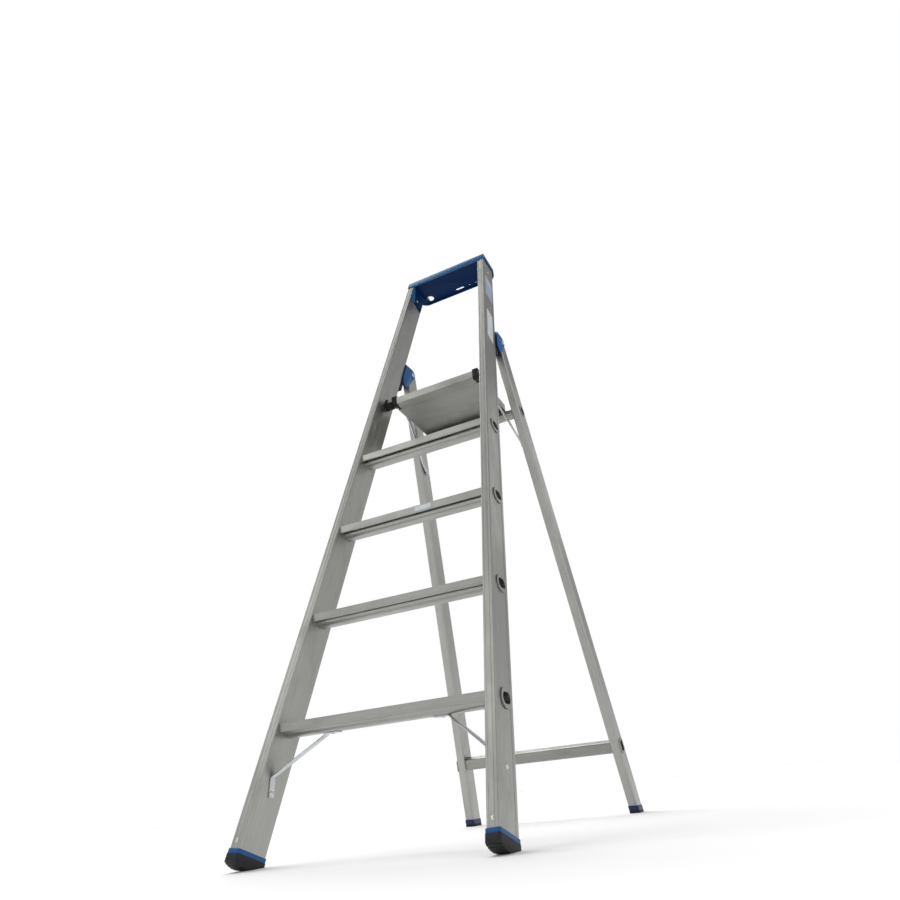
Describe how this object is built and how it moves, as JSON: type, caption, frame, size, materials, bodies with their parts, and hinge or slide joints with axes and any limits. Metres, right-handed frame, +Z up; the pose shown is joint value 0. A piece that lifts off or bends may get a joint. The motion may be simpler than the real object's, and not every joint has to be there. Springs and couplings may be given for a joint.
{
  "type": "platform stepladder",
  "caption": "Folding aluminium platform stepladder: leaning front stiles with ribbed treads and a blue tool tray, a hinged rear frame, and a platform that folds up with it.",
  "frame": {"origin": "centre of the footprint on the floor, midway between the foremost and rearmost points", "axes": "+X to the right of a person facing the treads, +Y from the treads to the rear legs, +Z up"},
  "size_m": [0.567, 1.1121, 1.898],
  "materials": {
    "extrusion": "drawn mill finish",
    "cross_member": "drawn mill finish",
    "tread": "drawn mill finish, ribbed top",
    "deck": "drawn mill finish, ribbed top",
    "deck_end": "mill finish",
    "tray_blue": "moulded, fine grain",
    "hinge_blue": "moulded, fine grain",
    "foot_blue": "moulded",
    "foot_navy": "moulded",
    "black_plastic": "moulded, fine grain",
    "black_rubber": "ribbed",
    "grey_plastic": "moulded",
    "zinc_steel": "zinc plated",
    "rivet_steel": "zinc plated",
    "label_pale": "blank printed film",
    "label_white": "blank film"
  },
  "bodies": {
    "front_frame": {"stile_left": "extrusion", "stile_right": "extrusion", "tread_1": "tread", "tread_2": "tread", "tread_3": "tread", "tread_4": "tread", "tool_tray": "tray_blue", "tray_rivets": "rivet_steel", "foot_collar_left": "foot_blue", "foot_collar_right": "foot_blue", "foot_sole_left": "black_rubber", "foot_sole_right": "black_rubber", "foot_rivets": "rivet_steel", "brace_left": "zinc_steel", "brace_right": "zinc_steel", "brace_lower_rivets": "rivet_steel", "brace_upper_rivets": "rivet_steel", "hinge_pad_left": "black_plastic", "hinge_pad_right": "black_plastic", "hinge_housing_left": "hinge_blue", "hinge_housing_right": "hinge_blue", "hinge_rivets": "rivet_steel", "hinge_pin_left": "rivet_steel", "hinge_pin_right": "rivet_steel", "platform_bracket_left": "black_plastic", "platform_bracket_right": "black_plastic", "bracket_rivets": "rivet_steel", "stile_label_upper": "label_pale", "stile_label_lower": "label_white", "tread_label": "label_white"},
    "rear_frame": {"rear_leg_left": "extrusion", "rear_leg_right": "extrusion", "leg_plug_left": "grey_plastic", "leg_plug_right": "grey_plastic", "rear_cross_tube": "cross_member", "rear_crossbar": "cross_member", "rear_foot_left": "foot_navy", "rear_foot_right": "foot_navy", "rear_sole_left": "black_rubber", "rear_sole_right": "black_rubber", "strut_anchor_rivets": "rivet_steel"},
    "platform": {"platform_deck": "deck", "deck_end_left": "deck_end", "deck_end_right": "deck_end", "platform_cap_left": "black_plastic", "platform_cap_right": "black_plastic", "platform_pins": "rivet_steel", "strut_top_pins": "rivet_steel", "deck_end_rivets": "rivet_steel"},
    "strut_left": {"strut_left": "zinc_steel", "strut_bolt_left": "rivet_steel"},
    "strut_right": {"strut_right": "zinc_steel", "strut_bolt_right": "rivet_steel"}
  },
  "joints": [
    {"name": "rear_fold", "type": "hinge", "parent": "front_frame", "child": "rear_frame", "pos_m": [0, 0.0742, 1.461], "axis": [-1, 0, 0], "range_deg": [0, 36.1]},
    {"name": "platform_fold", "type": "hinge", "parent": "front_frame", "child": "platform", "pos_m": [0, -0.08181, 1.2435], "axis": [1, 0, 0], "range_deg": [0, 71.05]},
    {"name": "strut_swing_left", "type": "hinge", "parent": "platform", "child": "strut_left", "pos_m": [-0.151, 0.01122, 1.2435], "axis": [-1, 0, 0], "range_deg": [0, 121.88]},
    {"name": "strut_swing_right", "type": "hinge", "parent": "platform", "child": "strut_right", "pos_m": [0.151, 0.01122, 1.2435], "axis": [-1, 0, 0], "range_deg": [0, 121.88]}
  ],
  "couplings": [
    {"joint": "platform_fold", "follows": "rear_fold", "ratio": 1.9668},
    {"joint": "strut_swing_left", "follows": "rear_fold", "ratio": 3.3747},
    {"joint": "strut_swing_right", "follows": "rear_fold", "ratio": 3.3747}
  ]
}
